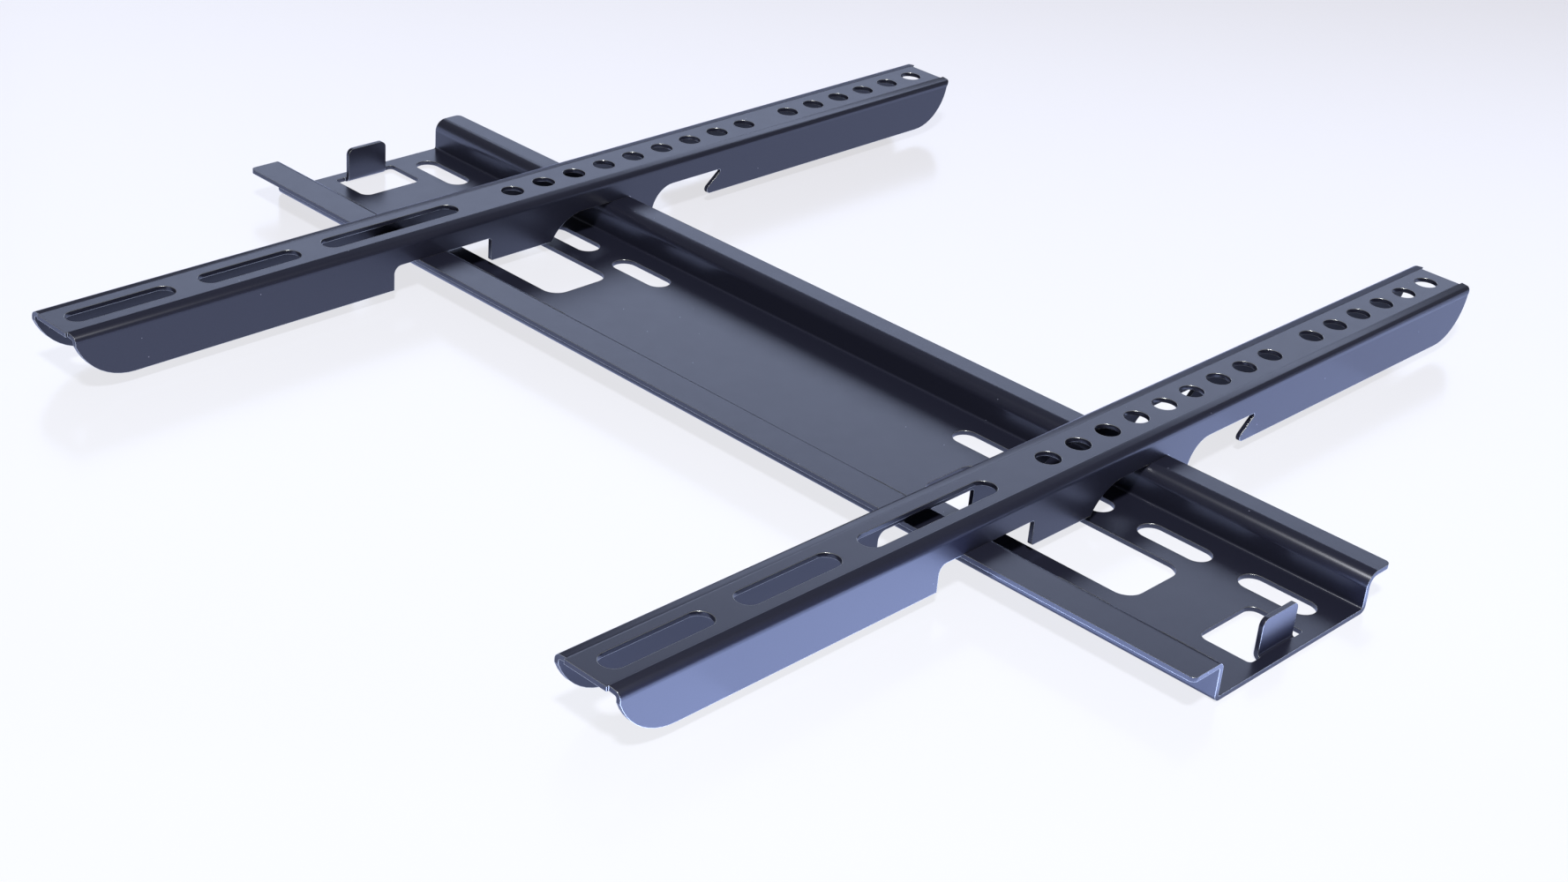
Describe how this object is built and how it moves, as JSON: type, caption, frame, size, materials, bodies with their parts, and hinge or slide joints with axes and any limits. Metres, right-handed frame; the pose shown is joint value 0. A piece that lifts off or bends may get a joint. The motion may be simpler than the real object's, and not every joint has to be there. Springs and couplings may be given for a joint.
{
  "type": "tv wall mount",
  "caption": "Flat wall plate of folded sheet steel with slotted brackets that hook over its rails and slide along them, to hang a flat screen close to a wall.",
  "frame": {"origin": "centre of the wall plate's length and height, on its back face", "axes": "+X along the wall plate, +Y up the wall along the brackets, +Z away from the wall"},
  "size_m": [0.441, 0.4222, 0.0224],
  "materials": {
    "powder_coat": "satin black powder coat, fine grained"
  },
  "bodies": {
    "plate": {"wall_plate": "powder_coat"},
    "right_bracket": {"right_bracket": "powder_coat"},
    "left_bracket": {"left_bracket": "powder_coat"}
  },
  "joints": [
    {"name": "right_bracket_slide", "type": "slide", "parent": "plate", "child": "right_bracket", "axis": [1, 0, 0], "range_m": [-0.107, 0.0771]},
    {"name": "left_bracket_slide", "type": "slide", "parent": "plate", "child": "left_bracket", "axis": [1, 0, 0], "range_m": [-0.0686, 0.1155]}
  ]
}
